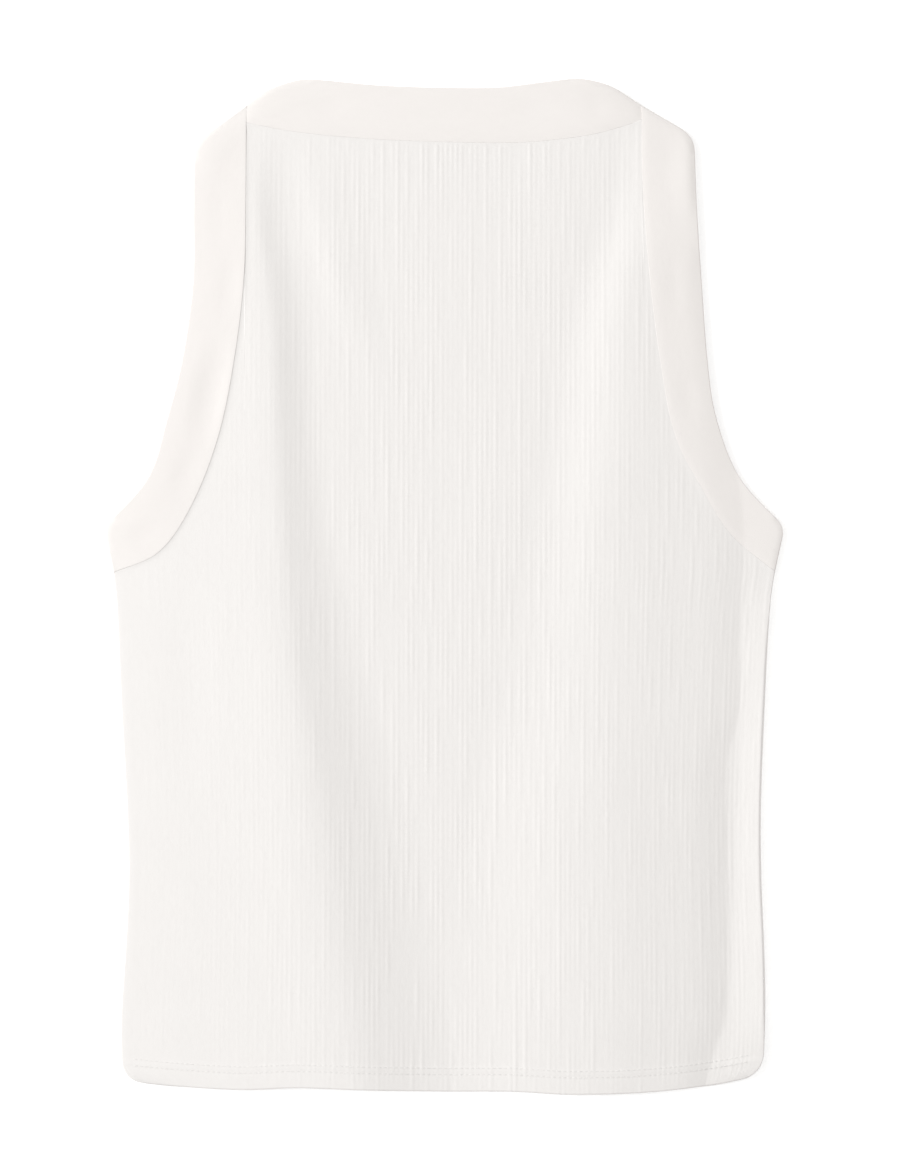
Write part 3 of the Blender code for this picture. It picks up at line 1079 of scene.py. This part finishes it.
    def rib_pull(self, share: np.ndarray, up: np.ndarray) -> np.ndarray:
        """How full each rib is along its length, where the knit is drawn out more or less.

        Args:
            share: The columns' places, in ribs from the left.
            up: How far up each of the grid's points is.

        Returns:
            The share of the relief at each row and column.
        """
        chance = np.random.default_rng(self.rib_seed)
        stations = chance.random((self.rib_stations, self.rib_count + 1)) ** self.rib_spread
        stations = stations * (1.0 + self.rib_spread) / 2.0
        along = (up - up.min()) * ((self.rib_stations - 1.0) / (up.max() - up.min()))
        first = np.minimum(along.astype(int), self.rib_stations - 2)
        part = ease(along - first)
        rib = np.broadcast_to(np.rint(share).astype(int), up.shape)
        return stations[first, rib] * (1.0 - part) + stations[first + 1, rib] * part

    def side_fall(self, places: np.ndarray, to_side: np.ndarray) -> np.ndarray:
        """How far the cloth falls as it rolls over towards the side seams.

        Args:
            places: The grid's points.
            to_side: How far each is from the side edges.

        Returns:
            The fall at each point.
        """
        on_left = places[..., 0] < 0.0
        drop = np.where(on_left, self.side_drop[0], self.side_drop[1])
        reach = np.where(on_left, self.side_reach[0], self.side_reach[1])
        return drop * np.clip(1.0 - to_side / reach, 0.0, 1.0) ** 2

    def swell(self, places: np.ndarray, to_seam: np.ndarray) -> np.ndarray:
        """How far the seam allowances inside lift the outer face.

        Args:
            places: The grid's points.
            to_seam: How far each is from the seams.

        Returns:
            The height at each point.
        """
        seam = Line([pair.place(Side.LEFT) for pair in ARMHOLE_SEAM]).points
        to_end = np.linalg.norm(places[:, :, None] - seam[[0, -1]], axis=-1).min(axis=-1)
        near = np.clip(1.0 - clearance(places, seam) / self.left_reach, 0.0, 1.0)
        left = self.left_swell * near ** 2 * ease(to_end / self.left_onset)
        return np.maximum(self.seam_swell * (1.0 - ease(to_seam / self.swell_reach)), left)

    def border(self, outer: np.ndarray, inner: np.ndarray,
               to_side: np.ndarray, to_hem: np.ndarray) -> np.ndarray:
        """Bring the outer face down along the panel's border.

        Args:
            outer: The outer face's height.
            inner: The inner face's height.
            to_side: How far each point is from the side edges.
            to_hem: How far each is from the hem.

        Returns:
            The outer face's height with its borders.
        """
        low_side = np.minimum(outer, np.maximum(self.side_level, inner + self.least_wall))
        level = low_side + (outer - low_side) * rounding(to_side, self.edge_round)
        low_hem = np.minimum(level, inner + self.hem_wall)
        return low_hem + (level - low_hem) * rounding(to_hem, self.edge_round)


@dataclass
class BackPanel(Panel):
    """The ribbed back, flat on what the garment lies on."""

    cut: PanelCut
    finish: bpy.types.Material
    node: str = "back_panel"
    wall: float = 1.3
    columns: int = 150
    side_columns: tuple[float, ...] = (0.25, 0.6, 1.2)
    hem_rows: tuple[float, ...] = (0.0, 0.3, 0.8, 1.6, 4.0, 9.0, 14.0, 16.0, 20.0)
    seam_rows: tuple[float, ...] = (9.0, 4.0, 1.6, 0.8, 0.0)
    between: int = 44
    edge_level: float = 0.75
    edge_round: float = 0.9
    edge_rise: float = 0.35         # how far its border stands off what it lies on
    rise_round: float = 0.8
    piece: bpy.types.Object = field(init=False)

    def build(self) -> bpy.types.Object:
        """Make the panel's shell.

        Returns:
            The new piece.
        """
        column = self.cut.ribs(self.columns, self.side_columns)
        places = self.cut.grid(column, self.hem_rows, self.between, self.seam_rows)
        rim = np.vstack([places[-1, ::-1], places[::-1, 0], places[0], places[:, -1]])
        to_rim = clearance(places, rim)
        under = self.edge_rise * (1.0 - rounding(to_rim, self.rise_round))
        crown = (self.wall - self.edge_level) * rounding(to_rim, self.edge_round)
        grain = np.dstack([np.broadcast_to(column, places.shape[:2]), places[..., 1]])
        upper, lower = np.dstack([places, self.edge_level + crown]), np.dstack([places, under])
        self.piece = cloth_shell(f"{self.node}_cloth", upper, lower, grain)
        return self.piece


@dataclass
class Band:
    """A smooth double band: folded along its free edge and sewn on along its seam."""

    node: str
    half: Half
    free: Line
    seam: Line
    rounds: tuple[float, float]         # how far its free corners are rounded, at start and end
    rolls: tuple[Roll, ...]
    drops: tuple[Drop, ...]
    finish: bpy.types.Material
    flat_size: tuple[float, float]
    flat_area: float
    seam_lift: float                    # how much higher than its ends it's held at the seam
    dents: tuple[Dent, ...] = ()
    front_rest: float = 2.1
    under_reach: float = 0.1            # how far a front band runs over the panel's edge
    back_gap: float = 0.1               # how far a back band stays off it
    corner_ease: float = 3.0            # how far a rounded corner is felt, in its own rounds
    fold_level: float = 0.42            # the height of its free edge, as a share of its body's
    fold_round: float = 0.45
    under_round: float = 0.8
    under_rise: float = 0.25            # how far its inside moves at its border
    least_wall: float = 0.6
    dent_onset: tuple[float, float] = (5.0, 4.0)    # from its seam, and from its other edges
    drop_onset: float = 2.0
    end_drop: float = 0.35              # how far a front band comes down at its ends
    end_reach: float = 2.5
    seam_height: float = 0.96           # its outer face at the seam, over where it rests
    lift_onset: float = 14.0            # how far from its ends the lift comes about
    seam_raise: float = 0.85            # how far the seam allowance holds its inside up
    raise_reach: float = 2.5
    along: int = 130
    end_steps: tuple[float, ...] = (0.0, 0.3, 0.8, 1.6, 2.8, 4.4)
    free_steps: tuple[float, ...] = (0.0, 0.15, 0.4, 0.8, 1.4, 2.2)
    seam_steps: tuple[float, ...] = (0.0, 0.2, 0.5, 1.0, 1.8)
    across: int = 12
    piece: bpy.types.Object = field(init=False)

    def build(self) -> bpy.types.Object:
        """Make the band's shell.

        Returns:
            The new piece.
        """
        front = self.half is Half.FRONT
        places, grain, share = self.grid(self.under_reach if front else -self.back_gap)
        rest = self.front_rest + front_lift(places) if front else np.zeros(places.shape[:2])
        ends = np.vstack([places[-1, ::-1], places[::-1, 0], places[0]])
        to_edge = clearance(places, ends)
        to_ends = np.minimum(clearance(places, places[0]), clearance(places, places[-1]))
        to_seam = clearance(places, places[:, -1])
        shares, depths, reaches = np.transpose(self.rolls)
        depth, reach = np.interp(share, shares, depths), np.interp(share, shares, reaches)
        wall = self.seam_height + sum(drop.depth for drop in self.drops)
        body = wall - depth * np.clip(1.0 - to_edge / reach, 0.0, 1.0) ** 2
        body = body + self.seam_lift * ease(to_ends / self.lift_onset)
        if front:
            from_seam, from_edge = self.dent_onset
            onset = ease(to_seam / from_seam) * ease(to_edge / from_edge)
            body = body - hollow(places, self.dents) * onset
            body = body - self.end_drop * (1.0 - ease(to_ends / self.end_reach))
        low = self.fold_level * body
        top = low + (body - low) * rounding(to_edge, self.fold_round)
        onset = ease(to_edge / self.drop_onset)
        for drop in self.drops:
            top = top - drop.depth * (1.0 - ease(to_seam / drop.reach)) * onset
        under = self.under_rise * (1.0 - rounding(to_edge, self.under_round))
        if front:
            onset = ease(to_edge / self.raise_reach)
            raised = self.seam_raise * (1.0 - ease(to_seam / self.raise_reach)) * onset
            under = np.minimum(raised - under, top - self.least_wall)
        upper = np.dstack([places, rest + top])
        lower = np.dstack([places, rest + under])
        self.piece = cloth_shell(f"{self.node}_cloth", upper, lower, grain)
        return self.piece

    def grid(self, over: float) -> tuple[np.ndarray, np.ndarray, np.ndarray]:
        """Lay a grid over the band.

        Args:
            over: How far the band runs past its seam, over the panel's edge.

        Returns:
            The points by row and column, their places in the flat cloth, and their shares of
            the band's length.
        """
        length = self.free.length
        even = np.linspace(self.end_steps[-1], length - self.end_steps[-1], self.along)
        closing = length - np.array(self.end_steps[-2::-1])
        rows = np.concatenate([self.end_steps[:-1], even, closing])
        wide = np.linalg.norm(self.free.at(rows / length) - self.seam.at(rows / length), axis=-1)
        columns = [np.full_like(rows, step) for step in self.free_steps]
        first, last = self.free_steps[-1], wide - self.seam_steps[-1]
        columns += [first + (last - first) * (step / self.across) for step in range(1, self.across)]
        columns += [wide - step for step in self.seam_steps[::-1]]
        inward = np.stack(columns, axis=-1)
        along = np.broadcast_to(rows[:, None], inward.shape)
        start, end = (
            corner_inset(inward, radius) * np.clip(1.0 - away / (self.corner_ease * radius), 0.0, 1.0)
            for radius, away in zip(self.rounds, (along, length - along))
        )
        share = np.clip((along + start - end) / length, 0.0, 1.0)
        free, seam = self.free.at(share), self.seam.at(share)
        gap = np.linalg.norm(seam - free, axis=-1, keepdims=True)
        blend = (inward / wide[:, None])[..., None] * (1.0 + over / gap)
        places = free + (seam - free) * blend
        grain = np.stack([inward, share * length], axis=-1)
        if self.turned_over():
            places, grain, share = places[::-1], grain[::-1], share[::-1]
        return places, grain, share

    def turned_over(self) -> bool:
        """Whether the grid's rows have to run the other way for its outer face to be up.

        Returns:
            True if they have to be turned over.
        """
        middle = np.array([0.4, 0.6])
        free, seam = self.free.at(middle), self.seam.at(middle)
        inward, onward = seam[0] - free[0], free[1] - free[0]
        return bool(inward[0] * onward[1] - inward[1] * onward[0] < 0.0)

    def dress(self) -> None:
        """Give the band its finish and tell the frame what it is."""
        self.piece.data.materials.append(self.finish)
        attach(self.piece, BODY)
        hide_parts(self.node)


@dataclass
class HemStitching:
    """Two rows of stitches that hold up the front's hem."""

    panel: FrontPanel
    finish: bpy.types.Material
    pitch: float = 3.0
    length: float = 2.5
    radius: float = 0.17
    margin: float = 7.0
    sunk: float = 0.04
    level_out: int = 4              # columns to each side over which a stitch evens out the ribs
    piece: bpy.types.Object = field(init=False)

    def build(self) -> bpy.types.Object:
        """Model one stitch, repeat it along both rows and lay the rows on the hem.

        Returns:
            The new piece.
        """
        column = self.panel.column
        start, end = column[0] + self.margin, column[-1] - self.margin
        bpy.ops.object.select_all(action="DESELECT")
        bpy.ops.mesh.primitive_uv_sphere_add(
            segments=6, ring_count=5, radius=1.0, rotation=(0.0, math.pi / 2, 0.0)
        )
        stitch = bpy.context.object
        stitch.name = stitch.data.name = "hem_stitching"
        bpy.ops.object.transform_apply(location=True, rotation=True, scale=True)
        stitch.scale = (self.length / 2, self.radius, self.radius)
        bpy.ops.object.transform_apply(location=True, rotation=True, scale=True)
        lower_row, upper_row = self.panel.stitch_rows
        for name, count, offset in (
            ("along", int((end - start) / self.pitch), (self.pitch, 0.0, 0.0)),
            ("rows", len(self.panel.stitch_rows), (0.0, upper_row - lower_row, 0.0)),
        ):
            copies = stitch.modifiers.new(name, "ARRAY")
            copies.use_relative_offset = False
            copies.use_constant_offset = True
            copies.constant_offset_displace = offset
            copies.count = count
            bpy.ops.object.modifier_apply(modifier=copies.name)
        self.lay(stitch, start)
        bpy.ops.object.shade_smooth()
        self.piece = stitch
        return stitch

    def lay(self, stitch: bpy.types.Object, start: float) -> None:
        """Move the rows of stitches on to the hem's surface.

        Args:
            stitch: The straight rows.
            start: Where the rows start, across the flat cloth.
        """
        mesh = stitch.data
        points = np.empty(len(mesh.vertices) * 3)
        mesh.vertices.foreach_get("co", points)
        points = points.reshape(-1, 3)
        lower_row, upper_row = self.panel.stitch_rows
        in_upper = points[:, 1] > (upper_row - lower_row) / 2
        off_row = points[:, 1] - np.where(in_upper, upper_row - lower_row, 0.0)
        along = points[:, 0] + start + self.length / 2
        placed = np.empty_like(points)
        window = 2 * self.level_out + 1
        for row, chosen in ((lower_row, ~in_upper), (upper_row, in_upper)):
            line = self.panel.upper[self.panel.hem_rows.index(row)].T
            padded = np.pad(line[2], self.level_out, mode="edge")
            crest = np.convolve(padded, np.ones(window) / window, mode="valid")
            for axis, values in enumerate((line[0], line[1], crest)):
                placed[chosen, axis] = np.interp(along[chosen], self.panel.column, values)
        placed[:, 1] += off_row
        placed[:, 2] += points[:, 2] + self.radius - self.sunk
        mesh.vertices.foreach_set("co", (placed * METRES).ravel())
        mesh.update()

    def dress(self) -> None:
        """Give the stitches their finish and tell the frame what they are on."""
        self.piece.data.materials.append(self.finish)
        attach(self.piece, BODY)


@dataclass
class Studio:
    """A pale floor, soft light from the upper left and a camera straight above."""

    floor_size: float = 24.0
    floor_drop: float = 0.0002      # how far the floor is below the garment, in metres
    floor_glow: float = 0.3
    sky_colour: tuple[float, float, float] = (1.0, 0.995, 0.985)
    sky_strength: float = 0.731
    key_power: float = 195.0
    key_size: float = 2.2
    key_colour: tuple[float, float, float] = (0.985, 0.995, 1.0)
    key_place: tuple[float, float, float] = (-3.84, 1.04, 2.28)
    camera_place: tuple[float, float, float] = (0.0029, -0.0007, 1.531)
    camera_lens: float = 85.0

    def build(self) -> None:
        """Make the floor, the lights and the camera."""
        scene = bpy.context.scene
        scene.view_settings.view_transform = "Standard"
        bpy.ops.object.select_all(action="DESELECT")
        bpy.ops.mesh.primitive_plane_add(
            size=self.floor_size, location=(0.0, 0.0, -self.floor_drop)
        )
        floor = bpy.context.object
        floor.name = "floor"
        bpy.ops.object.transform_apply(location=True, rotation=True, scale=True)
        pale = Shader("floor_pale")
        pale.plug(pale.surface.inputs["Base Color"], (1.0, 1.0, 1.0, 1.0))
        pale.plug(pale.surface.inputs["Roughness"], 1.0)
        pale.plug(pale.surface.inputs["Specular IOR Level"], 0.0)
        pale.plug(pale.surface.inputs["Emission Color"], (1.0, 1.0, 1.0, 1.0))
        pale.plug(pale.surface.inputs["Emission Strength"], self.floor_glow)
        floor.data.materials.append(pale.material)

        world = bpy.data.worlds.new("soft_sky")
        world.use_nodes = True
        sky = world.node_tree.nodes["Background"]
        sky.inputs["Color"].default_value = (*self.sky_colour, 1.0)
        sky.inputs["Strength"].default_value = self.sky_strength
        scene.world = world

        bpy.ops.object.light_add(type="AREA", location=self.key_place)
        key = bpy.context.object
        key.name = "key_light"
        key.data.shape = "DISK"
        key.data.size = self.key_size
        key.data.energy = self.key_power
        key.data.color = self.key_colour
        key.rotation_euler = self.aim(self.key_place)

        bpy.ops.object.camera_add(location=self.camera_place, rotation=(0.0, 0.0, 0.0))
        camera = bpy.context.object
        camera.name = "camera"
        camera.data.lens = self.camera_lens
        camera.data.clip_start = 0.05
        scene.camera = camera

    @staticmethod
    def aim(place: tuple[float, float, float]) -> tuple[float, float, float]:
        """The turn of a light that shines from a place at the garment's middle."""
        across, up, high = place
        return (math.atan2(math.hypot(across, up), high), 0.0, math.atan2(across, -up))


def neckband(half: Half, finish: bpy.types.Material) -> Band:
    """The band along one half of the neck.

    Args:
        half: Which layer of the garment it is on.
        finish: What it is made of.

    Returns:
        The band, ready to be built.
    """
    return Band(
        node=f"{half.value}_neckband",
        half=half,
        free=Line(NECK_EDGE),
        seam=Line(NECK_SEAM, start=[SHOULDER.place(Side.LEFT)], end=[SHOULDER.place(Side.RIGHT)]),
        rounds=(15.0, 15.0),
        rolls=(
            Roll(0.0, 0.6, 18.0),
            Roll(0.1, 0.35, 14.0),
            Roll(0.2, 0.2, 8.0),
            Roll(0.78, 0.2, 8.0),
            Roll(0.9, 0.55, 12.0),
            Roll(1.0, 0.5, 18.0),
        ),
        drops=(Drop(0.22, 2.6), Drop(0.15, 9.0)),
        seam_lift=0.0,
        finish=finish,
        flat_size=(0.2178, 0.0345),
        flat_area=0.0063,
        dents=NECKBAND_DENTS,
    )


def armband(half: Half, side: Side, finish: bpy.types.Material) -> Band:
    """The band along one half of an armhole.

    Args:
        half: Which layer of the garment it is on.
        side: Which armhole it goes round.
        finish: What it is made of.

    Returns:
        The band, ready to be built.
    """
    return Band(
        node=f"{half.value}_{side.name.lower()}_armband",
        half=half,
        free=Line([pair.place(side) for pair in ARMHOLE_EDGE]),
        seam=Line([pair.place(side) for pair in (SHOULDER, *ARMHOLE_SEAM)]),
        rounds=(8.5, 6.0),
        finish=finish,
        flat_size=(0.0300, 0.2560),
        **ARMBAND_FORMS[side],
    )


def report(piece: bpy.types.Object) -> None:
    """Log a finished piece."""
    log.info("%s: %d faces", piece.name, len(piece.data.polygons))


def main() -> None:
    """Build the garment piece by piece, and then the studio round it."""
    rib_yarn = {
        "colour": (0.822, 0.801, 0.786),
        # the second colour is painted shade in the gaps between the stitches
        "painted_gap_shade": (0.778, 0.753, 0.734),
        "wale": 0.672,
        "course": 0.6,
    }
    front_knit = KnitFinish("front_rib_knit", **rib_yarn).material()
    back_knit = KnitFinish("back_rib_knit", **rib_yarn, rib_pitch=2.699, rib_relief=0.25).material()
    band_knit = KnitFinish(
        "band_knit",
        colour=(0.825, 0.792, 0.77),
        # the second colour is painted shade in the gaps between the stitches
        painted_gap_shade=(0.785, 0.75, 0.727),
        wale=0.85,
        course=0.6,
    ).material()

    cut = PanelCut()
    back = BackPanel(cut, back_knit)
    front = FrontPanel(cut, front_knit)
    stitching = HemStitching(front, ThreadFinish().material())
    for maker in (back, front, stitching):
        report(maker.build())
        maker.dress()
    for half in (Half.BACK, Half.FRONT):
        for band in (
            neckband(half, band_knit),
            armband(half, Side.LEFT, band_knit),
            armband(half, Side.RIGHT, band_knit),
        ):
            report(band.build())
            band.dress()
    Studio().build()


if __name__ == "__main__":
    logging.basicConfig(level=logging.INFO, format="%(message)s")
    main()
